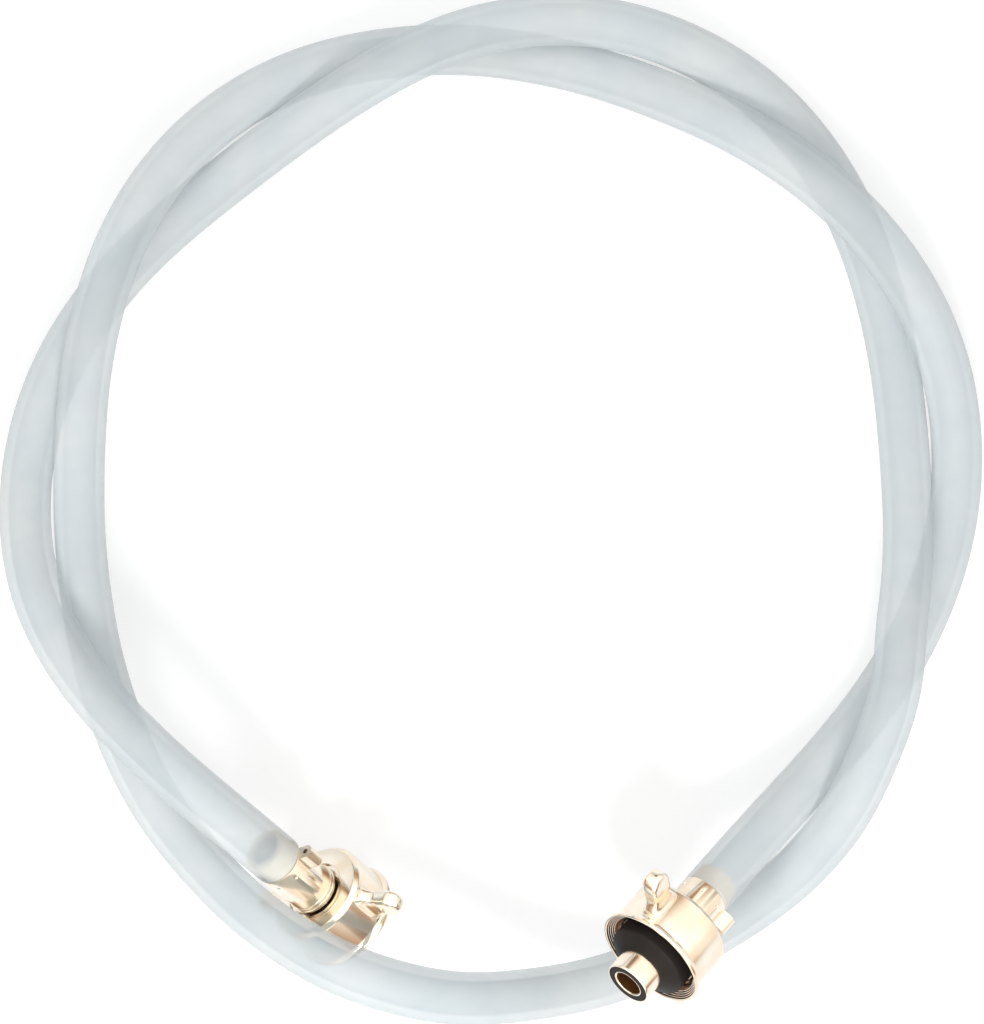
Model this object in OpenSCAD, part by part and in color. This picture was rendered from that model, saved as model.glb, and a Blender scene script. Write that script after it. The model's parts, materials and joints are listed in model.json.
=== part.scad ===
// Brewing hose laid in a ring of nearly two turns, with a wing-nut coupling on each end.
// Origin: on the surface that it lies on, under the middle of its outer box. Millimetres, +Z up.

/* [Hose] */
// Outer diameter of the hose
hose_od = 18.5; // [17:0.1:19]
// Diameter of the bore
hose_bore = 12; // [11.6:0.1:13]
// Share of the diameter that lies pressed flat on the surface
flat_share = 0.1; // [0.05:0.01:0.15]
// Rings of points along the wound part of the hose
hose_rings = 88; // [80:2:110]
// Sides of the hose
hose_sides = 10; // [8:2:12]

/* [Lay] */
// Middle radius of the ring that the hose is laid in
ring_radius = 165; // [160:1:172]
// Gap left between the two turns where they lie side by side
side_gap = 1; // [0.9:0.1:2]
// Gap left between the two turns where one lies on the other
top_gap = 0.9; // [0.8:0.1:2]
// How softly the hose leaves the top of a crossing
softness = 0.4; // [0.3:0.05:0.6]

/* [Nut] */
// Length of the nut
nut_len = 19.6; // [18:0.2:23]
// Outer diameter of the nut's body
nut_od = 37.6; // [37:0.1:39]
// Diameter of the flared lip
lip_od = 40.6; // [39.6:0.1:43]
// Length of the flare behind the lip
flare_len = 3.2; // [2:0.1:5]
// Thickness of the lip's edge
lip_edge = 0.9; // [0.6:0.1:1.4]
// Depth of the bevelled mouth in front of the thread
mouth_depth = 1.5; // [1:0.1:2.4]
// Diameter of the bore that holds the G 1 thread, at its crests
thread_bore = 30.3; // [30:0.05:31]
// Diameter of the mouth at the start of the thread
thread_major = 33.3; // [33:0.05:33.6]
// Length over which the thread rises from its roots to its crests
thread_lead = 1; // [0.6:0.1:1.6]
// Diameter of the hole in the nut's back wall
hole_d = 19.8; // [19.8:0.1:21]
// Thickness of the nut's back wall
back_wall = 3; // [2:0.1:3.4]
// Bevel round the nut's back edge
back_bevel = 1.4; // [0.5:0.1:2]
// Width of the recess round the hole in the back wall
back_recess = 1.3; // [0.8:0.1:2]
// Depth of that recess
recess_depth = 1; // [0.5:0.1:1.5]

/* [Ears] */
// Distance of an ear's tip from the nut's axis
ear_reach = 34; // [29:0.5:35]
// Thickness of an ear's web
ear_web = 5.8; // [3:0.1:6.4]
// Thickness of an ear's head
ear_head = 6.6; // [4:0.1:8]
// Diameter of an ear's round head
ear_head_d = 9; // [8:0.5:10]
// Width of an ear where it meets the nut
ear_foot = 13.4; // [11:0.1:14.5]
// Length over which an ear narrows from its foot to its head
ear_shoulder = 3; // [1:0.5:5]
// Distance from the lip's plane back to the middle of an ear
ear_back = 10.8; // [9.8:0.1:11.4]

/* [Tail] */
// Diameter of the nose
nose_od = 17; // [16.8:0.1:18]
// Length of the bare nose in front of the gasket
nose_len = 8; // [6:0.5:12]
// Bevel round the end of the nose
nose_bevel = 0.7; // [0.3:0.1:1]
// Diameter of the seat that the gasket sits on, behind the nose
gasket_seat_d = 16.4; // [16:0.1:16.6]
// Diameter of the bore through the tail
tail_bore = 10; // [8:0.1:10.4]
// Thickness of the flange that the nut turns and slides on
flange_t = 3; // [2:0.1:4]
// Diameter of the neck behind the flange
neck_d = 18; // [17.6:0.1:18.4]
// Length of the neck
neck_len = 5.8; // [5:0.1:8]
// Diameter of the round collar near the neck's end
collar_d = 19.2; // [18.6:0.1:19.2]
// Thickness of that collar
collar_t = 1.2; // [0.8:0.1:2]
// Distance from the flange's back face to the middle of the collar
collar_at = 4.6; // [3:0.1:5]
// Length of the seat under the sleeve's front end
seat_len = 2; // [1:0.1:3]
// Length of the barbed end inside the hose
barb_len = 25.6; // [20:0.4:30]
// Diameter of the core between the barbs
barb_core = 11.6; // [11.4:0.1:12]
// Diameter over the barbs
barb_d = 12.6; // [12:0.1:13]
// Number of barbs
barbs = 4; // [2:1:6]

/* [Sleeve] */
// Length of the sleeve
sleeve_len = 19.4; // [16:0.2:22]
// Thickness of the sleeve's wall
sleeve_wall = 0.6; // [0.5:0.05:1]
// How far the crimped sleeve presses the hose in, on the radius
squeeze = 0.8; // [0.5:0.1:1]
// Diameter of the bead round the sleeve's front end
bead_d = 0.8; // [0.6:0.1:1]
// Distance from the sleeve's front end to the middle of its ear
clip_at = 15.7; // [10:0.1:15.9]
// Length of the ear along the sleeve
clip_len = 7; // [5:0.5:8]
// Width of the ear round the sleeve
clip_w = 5; // [4:0.1:6]
// How far the ear stands out of the sleeve
clip_h = 5; // [3:0.1:6]
// Diameter of the slot through the ear
clip_slot = 1.8; // [1:0.1:2.4]
// Diameter of the dimples that the crimping tool leaves
dimple_d = 1.6; // [1:0.1:1.6]
// Number of dimples round the sleeve
dimples = 6; // [3:1:9]

/* [Seals] */
// Length of the gasket on the nose
gasket_len = 9.9; // [8:0.1:11]
// Diameter of the gasket
gasket_od = 29.6; // [28:0.1:29.6]
// Length of the cone at the gasket's front
gasket_cone = 3; // [2:0.1:5]
// Diameter of the gasket's front face
gasket_tip_d = 18.2; // [17.6:0.1:20]
// Width of the ring in the nose's end face
seal_w = 2.4; // [1:0.1:2.4]
// Depth of that ring
seal_t = 1.6; // [1:0.1:2.4]
// Width of the bright rim left outside that ring
seal_rim = 0.5; // [0.4:0.1:0.8]

/* [Fits] */
// Radial clearance of the flange in the nut's bore
running = 0.05; // [0.02:0.01:0.1]
// Radial clearance of the sleeve on the hose
slip = 0.05; // [0.03:0.01:0.1]
// Gap between the nut's back wall and the flange when the nut is drawn forward
end_float = 0.4; // [0.35:0.05:0.8]
// How far the right nut has slid back on its flange from there
nut_travel = 8.3; // [0:0.1:8.6]

/* [Hidden] */
$fn = 72;
eps = 0.01;

// The lay's places below are drawn for a ring of this middle radius, and grow with it.
drawn_radius = 165;
grown = ring_radius / drawn_radius;
// Middle of the ring on the surface, so that the origin lies under the middle of the outer box.
ring_middle = grown * [-1.12, -3.32, 0];

// Each coupling: the middle of its lip, where its mouth points (degrees round and degrees up), and how far
// its ears and its sleeve's ear are turned round its own axis, counted from its lowest side.
right_lip = grown * [55.5, -157, 60];
right_aim = [-137, 31];
right_ears = 223;
right_clip = 100;
left_lip = grown * [-53.58, -148.81, 22.15];
left_aim = [-47, -37];
left_ears = 140;
left_clip = 120;

// How far each tail's flange lies behind its nut's lip: the left nut is drawn forward, the right one is
// slid back.
left_set = nut_len - back_wall - end_float;
right_set = left_set - nut_travel;

// Places along a tail, counted from the flange's back face, with the mouth on the positive side.
gasket_front = flange_t + gasket_len;
nose_end = gasket_front + nose_len;
neck_end = -neck_len;
sleeve_back = neck_end - sleeve_len;
clip_middle = neck_end - clip_at;
hose_start = neck_end - seat_len;
tail_end = hose_start - barb_len;
squeeze_end = 0.6;
right_run = 37 * grown;
left_run = 25.8 * grown;

flange_r = thread_bore / 2 - running;
hole_r = hole_d / 2;
recess_r = hole_r + back_recess;
mouth_r = lip_od / 2 - lip_edge;
squeezed_r = hose_od / 2 - squeeze;
sleeve_r = squeezed_r + slip;
sleeve_outer = sleeve_r + sleeve_wall;
clip_round = sleeve_outer + clip_h - clip_w / 2;
seal_r = nose_od / 2 - seal_rim;
seal_slip = 0.02;
seal_sink = 0.1;
gasket_slip = 0.1;
head_at = ear_reach - ear_head_d / 2;
ear_root = (nut_od + thread_major) / 4;
barb_lead = 1;
barb_pitch = (barb_len - 2 * barb_lead) / barbs;
barb_taper = 0.3;
edge = 0.4;
blend_steps = 8;

// Radius of the ring, alike for both turns, as drawn: [degrees round, radius]. It repeats after a full turn.
RADIUS = [[-15, 159.5], [0, 163], [15, 166.5], [30, 170], [45, 174], [60, 177], [75, 177], [90, 174.5],
          [105, 171], [120, 169], [135, 166.5], [150, 164.5], [165, 163], [180, 161], [195, 157],
          [210, 153.5], [225, 153], [240, 155], [255, 158.5], [270, 163.5], [285, 167.5], [300, 166.5],
          [315, 164], [330, 160.5], [345, 159.5], [360, 163]];
// How far the two turns have wound round each other: [degrees round, degrees of winding].
// The first turn lies under the second at 0 and 360, over it at 180, and outside it at 90 and 450.
WINDING = [[-90, -90], [-72, -90], [-58, -86], [-46, -55], [-35, -24], [-24, 0], [-14, 32], [0, 68],
           [37, 180], [95, 360], [148, 540], [207, 720], [226, 776], [244, 806], [262, 810], [320, 810]];
// How far something holds the hose up off its plain lay, as drawn: [degrees round both turns, height].
LIFT = [[-60, 0], [-40, 0], [120, 0], [142, 0], [160, 4], [176, 12], [192, 23], [207, 31], [218, 34],
        [230, 39], [242, 51], [253, 57], [265, 48], [278, 19.5], [290, 2], [301, -1], [311, 2], [322, 7],
        [333, 8], [346, 4], [360, 0], [372, 0], [480, 0], [502, 0], [520, 4], [536, 12], [552, 23],
        [567, 32], [584, 38]];
first_turn_end = 290;
lay_start = -8;
lay_end = 548;
blend_pull = 1.1;
probe_step = 4;
probe_skip = 24;

hose_r = hose_od / 2;
rest_z = hose_r - flat_share * hose_od;
swing = (hose_od + side_gap) / 2;
stack = (hose_od + top_gap) / 2;

metal = [0.87, 0.79, 0.68];
bright = [0.93, 0.88, 0.8];
clear_hose = [0.86, 0.9, 0.94];
rubber = [0.1, 0.1, 0.1];

// Smooth curve through a table of [place, value].
function slope(table, k) =
    let (a = max(k - 1, 0), b = min(k + 1, len(table) - 1))
    (table[b][1] - table[a][1]) / (table[b][0] - table[a][0]);
function station(table, x, k = 0) = k >= len(table) - 2 || x < table[k + 1][0] ? k : station(table, x, k + 1);
function ease(p0, m0, p1, m1, u) =
    (2 * u^3 - 3 * u^2 + 1) * p0 + (u^3 - 2 * u^2 + u) * m0 + (3 * u^2 - 2 * u^3) * p1 + (u^3 - u^2) * m1;
function smooth(table, x) =
    let (k = station(table, x), h = table[k + 1][0] - table[k][0])
    ease(table[k][1], h * slope(table, k), table[k + 1][1], h * slope(table, k + 1), (x - table[k][0]) / h);

function unit(v) = v / norm(v);
function aimed(aim) = [cos(aim[0]) * cos(aim[1]), sin(aim[0]) * cos(aim[1]), sin(aim[1])];
// Share of the stack's height at a winding whose cosine is c: 0 when under, 1 when over.
function over(c) = (c + sqrt(c * c + softness^2) - sqrt(1 + softness^2) + 1) / 2;
function lay_point(t) =
    let (
        second = t > first_turn_end,
        turn = second ? t - 360 : t,
        side = second ? -1 : 1,
        winding = smooth(WINDING, turn),
        around = turn < -15 ? turn + 360 : turn,
        r = grown * smooth(RADIUS, around) + side * swing * sin(winding),
        z = rest_z + 2 * stack * over(-side * cos(winding)) + grown * smooth(LIFT, t)
    )
    [r * cos(t), r * sin(t), z];
function lay_way(t) = unit(lay_point(t + 0.5) - lay_point(t - 0.5));
function on_axis(lip, aim, place) = lip + place * aimed(aim);
function blend(p0, way0, p1, way1, steps) =
    let (pull = blend_pull * norm(p1 - p0))
    [for (k = [1 : steps - 1]) ease(p0, pull * way0, p1, pull * way1, k / steps)];
// Points of one end of the hose: its cut face, both sides of the sleeve's back edge, and where it starts
// to bend.
function hose_end(lip, aim, set, run) =
    [for (place = [hose_start, sleeve_back, sleeve_back - squeeze_end, hose_start - run])
        on_axis(lip, aim, place - set)];
function backwards(list) = [for (k = [len(list) - 1 : -1 : 0]) list[k]];
// Points of the whole hose, from the right coupling round to the left one.
function hose_path(lay_steps, blends) =
    let (
        right_end = hose_end(right_lip, right_aim, right_set, right_run),
        left_end = hose_end(left_lip, left_aim, left_set, left_run),
        step = (lay_end - lay_start) / lay_steps,
        lay = [for (k = [0 : lay_steps]) lay_point(lay_start + k * step)]
    )
    concat(
        right_end,
        blend(right_end[3], -aimed(right_aim), lay[0], lay_way(lay_start), blends),
        lay,
        blend(lay[lay_steps], lay_way(lay_end), left_end[3], aimed(left_aim), blends),
        backwards(left_end)
    );

// One ring of points round the path; points under the surface are pressed up onto it.
function ring_way(path, k) = unit(path[min(k + 1, len(path) - 1)] - path[max(k - 1, 0)]);
// Outer radius of the hose at a point of its path: pressed in under the sleeves.
function outer_r(path, k) = k < 2 || k > len(path) - 3 ? squeezed_r : hose_r;
function ring_points(path, k, r, floor_z) =
    let (way = ring_way(path, k), side = unit(cross([0, 0, 1], way)), top = cross(way, side))
    [for (s = [0 : hose_sides - 1])
        let (a = 360 * s / hose_sides, p = path[k] + r * (cos(a) * side + sin(a) * top))
        [p.x, p.y, max(p.z, floor_z)]];

module hose_tube(path) {
    n = len(path);
    m = hose_sides;
    outer = [for (k = [0 : n - 1]) each ring_points(path, k, outer_r(path, k), 0)];
    inner = [for (k = [0 : n - 1]) each ring_points(path, k, hose_bore / 2, 0)];
    base = n * m;
    walls = [for (k = [0 : n - 2], s = [0 : m - 1])
        let (a = k * m + s, b = k * m + (s + 1) % m)
        each [[a, a + m, b + m], [a, b + m, b],
              [base + a, base + b + m, base + a + m], [base + a, base + b, base + b + m]]];
    last = (n - 1) * m;
    ends = [for (s = [0 : m - 1])
        let (t = (s + 1) % m)
        each [[s, t, base + t], [s, base + t, base + s],
              [last + s, base + last + t, last + t], [last + s, base + last + s, base + last + t]]];
    polyhedron(points = concat(outer, inner), faces = concat(walls, ends), convexity = 12);
}

// Least distance between the walls of two stretches of the hose that aren't neighbours.
function least_gap(path) =
    min([for (i = [0 : len(path) - probe_skip - 1], j = [i + probe_skip : len(path) - 1])
        norm(path[i] - path[j])]) - hose_od;

// Stands a coupling piece, made along +Z, in its place, with its own zero a given way behind the lip.
module seated(lip, aim, set = 0) {
    translate(ring_middle + lip) rotate([0, 90 - aim[1], aim[0]]) translate([0, 0, -set]) children();
}

module nut_body() {
    flare = (lip_od - nut_od) / 2;
    rise = flare_len - lip_edge;
    rotate_extrude($fn = 120) polygon(concat(
        [[hole_r, -nut_len + recess_depth], [recess_r, -nut_len + recess_depth], [recess_r, -nut_len]],
        [[nut_od / 2 - back_bevel, -nut_len], [nut_od / 2, -nut_len + back_bevel]],
        [for (k = [0 : 6]) [nut_od / 2 + flare * (1 - cos(15 * k)), -flare_len + rise * sin(15 * k)]],
        [[lip_od / 2, 0], [mouth_r, 0], [thread_major / 2, -mouth_depth]],
        [[thread_bore / 2, -mouth_depth - thread_lead], [thread_bore / 2, -nut_len + back_wall]],
        [[hole_r, -nut_len + back_wall]]
    ));
}

module ear() {
    half_head = ear_head_d / 2;
    shoulder = nut_od / 2 + ear_shoulder;
    rotate([90, 0, 0]) {
        linear_extrude(ear_web, center = true) polygon([
            [ear_root, ear_foot / 2 - ear_back], [nut_od / 2, ear_foot / 2 - ear_back],
            [shoulder, half_head - ear_back], [head_at, half_head - ear_back],
            [head_at, -half_head - ear_back], [shoulder, -half_head - ear_back],
            [nut_od / 2, -ear_foot / 2 - ear_back], [ear_root, -ear_foot / 2 - ear_back]
        ]);
        translate([head_at, -ear_back, 0]) cylinder(d = ear_head_d, h = ear_head, center = true);
    }
}

module nut(lip, aim, ears) {
    color(metal) seated(lip, aim) {
        nut_body();
        for (side = [0, 180]) rotate(ears + side) ear();
    }
}

module tail(lip, aim, set) {
    collar_rise = (collar_d - neck_d) / 2;
    collar = [for (k = [0 : 6])
        [neck_d / 2 + collar_rise * sin(30 * k), -collar_at + collar_t / 2 * cos(30 * k)]];
    barb_list = [for (k = [0 : barbs - 1])
        let (front = hose_start - barb_lead - k * barb_pitch)
        each [[barb_core / 2, front], [barb_d / 2, front], [barb_core / 2, front - barb_pitch]]];
    color(bright) seated(lip, aim, set) rotate_extrude($fn = 96) polygon(concat(
        [[tail_bore / 2, tail_end], [tail_bore / 2, nose_end], [seal_r - seal_w, nose_end]],
        [[seal_r - seal_w, nose_end - seal_t], [seal_r, nose_end - seal_t], [seal_r, nose_end]],
        [[nose_od / 2 - edge / 2, nose_end], [nose_od / 2, nose_end - nose_bevel]],
        [[nose_od / 2, gasket_front], [gasket_seat_d / 2, gasket_front], [gasket_seat_d / 2, flange_t]],
        [[flange_r, flange_t], [flange_r, 0], [neck_d / 2, 0]],
        collar,
        [[neck_d / 2, neck_end], [squeezed_r, neck_end], [squeezed_r, hose_start]],
        [[barb_core / 2, hose_start]],
        barb_list,
        [[barb_core / 2 - barb_taper, tail_end]]
    ));
}

module sleeve(lip, aim, set, clip) {
    color(metal) seated(lip, aim, set) difference() {
        union() {
            rotate_extrude($fn = 96) {
                polygon([[sleeve_r, sleeve_back], [sleeve_outer - edge, sleeve_back],
                         [sleeve_outer, sleeve_back + edge], [sleeve_outer, neck_end], [sleeve_r, neck_end]]);
                translate([sleeve_outer, neck_end - bead_d / 2]) circle(d = bead_d, $fn = 24);
            }
            rotate(clip) translate([0, 0, clip_middle]) {
                translate([sleeve_outer - edge, -clip_w / 2, -clip_len / 2])
                    cube([clip_round - sleeve_outer + edge, clip_w, clip_len]);
                translate([clip_round, 0, 0]) cylinder(d = clip_w, h = clip_len, center = true);
            }
        }
        rotate(clip) translate([clip_round, 0, clip_middle])
            cylinder(d = clip_slot, h = 2 * clip_len, center = true);
        for (k = [1 : dimples]) rotate(clip + 360 * k / (dimples + 1))
            translate([sleeve_outer + dimple_d / 4, 0, clip_middle]) sphere(d = dimple_d, $fn = 24);
    }
}

module gasket(lip, aim, set) {
    inner_r = gasket_seat_d / 2 + gasket_slip;
    color(rubber) seated(lip, aim, set) rotate_extrude($fn = 96) polygon([
        [inner_r, flange_t], [gasket_od / 2, flange_t], [gasket_od / 2, gasket_front - gasket_cone],
        [gasket_tip_d / 2, gasket_front], [inner_r, gasket_front]
    ]);
}

module nose_seal(lip, aim, set) {
    color(rubber) seated(lip, aim, set) translate([0, 0, nose_end - seal_t]) rotate_extrude($fn = 96)
        translate([seal_r - seal_w + seal_slip, 0]) square([seal_w - 2 * seal_slip, seal_t - seal_sink]);
}

module hose() {
    probe_lay = round((lay_end - lay_start) * PI * ring_radius / 180 / probe_step);
    echo(least_gap_of_hose_to_itself = least_gap(hose_path(probe_lay, 3 * blend_steps)));
    color(clear_hose) translate(ring_middle) hose_tube(hose_path(hose_rings, blend_steps));
}

module left_tail() { tail(left_lip, left_aim, left_set); }
module left_sleeve() { sleeve(left_lip, left_aim, left_set, left_clip); }
module left_gasket() { gasket(left_lip, left_aim, left_set); }
module left_nose_seal() { nose_seal(left_lip, left_aim, left_set); }
module left_nut() { nut(left_lip, left_aim, left_ears); }
module right_tail() { tail(right_lip, right_aim, right_set); }
module right_sleeve() { sleeve(right_lip, right_aim, right_set, right_clip); }
module right_gasket() { gasket(right_lip, right_aim, right_set); }
module right_nose_seal() { nose_seal(right_lip, right_aim, right_set); }
module right_nut() { nut(right_lip, right_aim, right_ears); }

hose();
left_tail();
left_sleeve();
left_gasket();
left_nose_seal();
left_nut();
right_tail();
right_sleeve();
right_gasket();
right_nose_seal();
right_nut();
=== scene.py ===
"""A beverage hose laid in a ring of nearly two turns, with a wing-nut coupling on each end."""

import json
import math

import bmesh
import bpy
from mathutils import Matrix, Vector
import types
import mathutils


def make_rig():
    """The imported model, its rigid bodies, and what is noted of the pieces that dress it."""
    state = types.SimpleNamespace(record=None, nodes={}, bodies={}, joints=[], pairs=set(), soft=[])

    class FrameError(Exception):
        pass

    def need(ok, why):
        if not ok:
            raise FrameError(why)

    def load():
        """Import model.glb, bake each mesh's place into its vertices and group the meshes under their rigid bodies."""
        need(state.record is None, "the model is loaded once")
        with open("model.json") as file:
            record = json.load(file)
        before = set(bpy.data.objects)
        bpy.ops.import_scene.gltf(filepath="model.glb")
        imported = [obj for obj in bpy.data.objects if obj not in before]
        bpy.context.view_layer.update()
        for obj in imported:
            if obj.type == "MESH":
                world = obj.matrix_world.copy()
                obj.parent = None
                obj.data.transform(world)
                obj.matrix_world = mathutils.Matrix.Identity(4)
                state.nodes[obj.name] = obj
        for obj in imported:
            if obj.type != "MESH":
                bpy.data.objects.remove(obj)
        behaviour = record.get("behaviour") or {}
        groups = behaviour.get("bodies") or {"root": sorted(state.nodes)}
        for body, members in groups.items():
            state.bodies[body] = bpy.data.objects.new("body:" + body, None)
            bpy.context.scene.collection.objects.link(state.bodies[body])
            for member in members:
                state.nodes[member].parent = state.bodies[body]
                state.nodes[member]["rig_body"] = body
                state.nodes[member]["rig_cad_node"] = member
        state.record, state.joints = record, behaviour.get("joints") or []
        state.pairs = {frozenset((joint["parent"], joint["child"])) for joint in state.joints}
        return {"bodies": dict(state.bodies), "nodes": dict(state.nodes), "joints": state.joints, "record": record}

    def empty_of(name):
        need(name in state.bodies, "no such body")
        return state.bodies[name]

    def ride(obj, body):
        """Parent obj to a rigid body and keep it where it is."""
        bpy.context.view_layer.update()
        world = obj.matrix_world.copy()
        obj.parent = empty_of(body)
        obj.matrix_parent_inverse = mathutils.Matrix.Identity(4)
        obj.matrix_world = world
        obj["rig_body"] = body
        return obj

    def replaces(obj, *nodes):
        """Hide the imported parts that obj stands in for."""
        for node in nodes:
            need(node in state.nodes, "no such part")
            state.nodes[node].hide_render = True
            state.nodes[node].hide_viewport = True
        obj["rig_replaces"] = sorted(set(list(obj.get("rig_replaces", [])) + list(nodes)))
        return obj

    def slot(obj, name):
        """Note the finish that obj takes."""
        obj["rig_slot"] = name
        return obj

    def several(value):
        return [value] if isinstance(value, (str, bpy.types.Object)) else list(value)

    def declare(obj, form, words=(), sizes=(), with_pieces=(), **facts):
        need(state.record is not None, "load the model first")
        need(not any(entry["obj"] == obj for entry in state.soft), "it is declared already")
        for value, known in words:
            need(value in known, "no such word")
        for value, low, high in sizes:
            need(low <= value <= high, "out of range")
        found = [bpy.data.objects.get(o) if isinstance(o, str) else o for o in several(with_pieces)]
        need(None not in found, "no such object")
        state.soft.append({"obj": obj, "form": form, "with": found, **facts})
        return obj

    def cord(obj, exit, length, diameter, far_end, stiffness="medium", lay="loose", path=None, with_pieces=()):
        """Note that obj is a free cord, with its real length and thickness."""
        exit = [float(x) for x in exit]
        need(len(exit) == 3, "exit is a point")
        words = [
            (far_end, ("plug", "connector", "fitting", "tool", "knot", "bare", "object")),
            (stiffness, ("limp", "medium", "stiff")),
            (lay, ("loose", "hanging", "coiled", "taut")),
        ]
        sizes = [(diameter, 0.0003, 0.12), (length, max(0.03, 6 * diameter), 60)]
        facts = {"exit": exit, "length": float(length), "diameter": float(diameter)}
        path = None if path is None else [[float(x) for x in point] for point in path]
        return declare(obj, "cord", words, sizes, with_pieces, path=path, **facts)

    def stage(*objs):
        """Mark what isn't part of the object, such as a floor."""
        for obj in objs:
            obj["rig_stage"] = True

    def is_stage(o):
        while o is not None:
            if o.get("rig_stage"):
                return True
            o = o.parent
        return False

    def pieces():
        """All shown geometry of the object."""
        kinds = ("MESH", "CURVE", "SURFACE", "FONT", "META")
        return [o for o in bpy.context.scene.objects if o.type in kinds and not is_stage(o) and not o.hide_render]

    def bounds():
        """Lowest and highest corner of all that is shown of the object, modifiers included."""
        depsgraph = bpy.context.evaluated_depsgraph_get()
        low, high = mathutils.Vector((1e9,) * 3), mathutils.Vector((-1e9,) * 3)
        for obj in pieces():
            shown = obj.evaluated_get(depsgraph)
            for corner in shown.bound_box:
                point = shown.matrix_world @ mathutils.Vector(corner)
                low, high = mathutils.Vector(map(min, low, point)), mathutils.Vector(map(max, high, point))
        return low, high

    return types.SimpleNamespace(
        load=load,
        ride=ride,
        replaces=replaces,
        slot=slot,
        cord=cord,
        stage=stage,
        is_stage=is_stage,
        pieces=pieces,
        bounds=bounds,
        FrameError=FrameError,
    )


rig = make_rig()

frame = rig.load()
cad_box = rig.bounds()
scene = bpy.context.scene

# --- Sizes, in metres -------------------------------------------------------------------------

# The hose, the share of it that is pressed flat where it lies, the gaps beside and over one turn
# where the other passes, and how softly one climbs over the other.
HOSE_OD = 0.0185
HOSE_BORE = 0.012
FLAT_SHARE = 0.1
SIDE_GAP = 0.001
TOP_GAP = 0.0009
SOFTNESS = 0.4

# A nut, its thread and its ears.
NUT_LEN = 0.0196
NUT_OD = 0.0376
LIP_OD = 0.0406
FLARE_LEN = 0.0032
LIP_EDGE = 0.0009
THREAD_BORE = 0.0303
THREAD_MAJOR = 0.0333
THREAD_PITCH = 0.002309
HOLE_D = 0.0198
BACK_WALL = 0.003
BACK_BEVEL = 0.0014
BACK_RECESS = 0.0013
RECESS_DEPTH = 0.001
RECESS_ROUND = 0.0002
BACK_ROUND = 0.0004

EAR_REACH = 0.034
EAR_HEAD = 0.0066
EAR_WEB = 0.0058
EAR_HEAD_D = 0.009
EAR_FOOT = 0.0134
EAR_BACK = 0.0108
EAR_FLOW = 0.0028
EAR_FLARE = 0.0012

# A hose tail, from its nose back to its barbs.
NOSE_OD = 0.017
NOSE_LEN = 0.008
NOSE_BEVEL = 0.0007
TAIL_BORE = 0.010
GASKET_SEAT_D = 0.0164
GASKET_SLIP = 0.0001
FLANGE_R = 0.0151
FLANGE_T = 0.003
NECK_D = 0.018
NECK_LEN = 0.0058
COLLAR_D = 0.0192
COLLAR_T = 0.0012
COLLAR_AT = 0.0046
SEAT_LEN = 0.002
BARB_LEN = 0.0256
BARB_CORE = 0.0116
BARB_D = 0.0126
BARB_FACE = 0.0002
BARB_LEAD = 0.001
BARBS = 4
EDGE = 0.0002
BORE_EDGE = 0.0003
# What keeps two points of a profile apart.
HAIR = 1e-5

# A crimped sleeve, its small ear and its dimples.
SLEEVE_LEN = 0.0194
SQUEEZE = 0.0008
SLEEVE_R = 0.0085
SLEEVE_OUTER = 0.0091
SLEEVE_ROUND = 0.0004
BEAD_D = 0.0008
CLIP_AT = 0.0157
CLIP_LEN = 0.007
CLIP_W = 0.005
CLIP_H = 0.005
CLIP_SLOT = 0.0018
CLIP_SUNK = 0.0004
DIMPLES = 6
DIMPLE_R = 0.0008
DIMPLE_PROUD = 0.0004

# The rubber parts, and the play between the nuts and the tails.
GASKET_LEN = 0.0099
GASKET_OD = 0.0296
GASKET_CONE = 0.003
GASKET_TIP_D = 0.0182
SEAL_W = 0.0024
SEAL_T = 0.0016
SEAL_RIM = 0.0005
END_FLOAT = 0.0004
NUT_TRAVEL = 0.0083

# Places along a tail, counted from its flange's back face, with the mouth on the positive side.
GASKET_FRONT = FLANGE_T + GASKET_LEN
NOSE_END = GASKET_FRONT + NOSE_LEN
NECK_END = -NECK_LEN
SLEEVE_BACK = NECK_END - SLEEVE_LEN
CLIP_MIDDLE = NECK_END - CLIP_AT
HOSE_START = NECK_END - SEAT_LEN
TAIL_END = HOSE_START - BARB_LEN
SQUEEZED_R = HOSE_OD / 2 - SQUEEZE
SEAL_R = NOSE_OD / 2 - SEAL_RIM
# The middle of the round top of a sleeve's ear, from the tail's axis.
CLIP_CENTRE = SLEEVE_OUTER + CLIP_H - CLIP_W / 2

# --- Where things lie -------------------------------------------------------------------------

RING_MIDDLE = Vector((-0.00112, -0.00332, 0))


class Coupling:
    """One end of the hose: where its lip is, where its mouth points, and how its ears are turned.

    Angles are in degrees: aim is (round, up), ears turns the nut's ears, and clip the sleeve's small ear.
    set_back runs from the nut's lip to the flange's back face, and run is the hose's straight stretch.
    """

    def __init__(self, name, lip, aim, ears, clip, set_back, run):
        self.name = name
        self.run = run
        lip = Vector(lip) + RING_MIDDLE
        heading, rise = (math.radians(a) for a in aim)
        flat = math.cos(rise)
        self.way = Vector((math.cos(heading) * flat, math.sin(heading) * flat, math.sin(rise)))
        self.ears = math.radians(ears)
        self.clip = Matrix.Rotation(math.radians(clip), 4, "Z")
        turn = Matrix.Rotation(heading, 4, "Z") @ Matrix.Rotation(math.pi / 2 - rise, 4, "Y")
        self.nut = Matrix.Translation(lip) @ turn
        self.flange = lip - set_back * self.way
        self.tail = Matrix.Translation(self.flange) @ turn

    def at(self, along):
        """A point on the axis, counted from the flange's back face."""
        return self.flange + along * self.way


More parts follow.
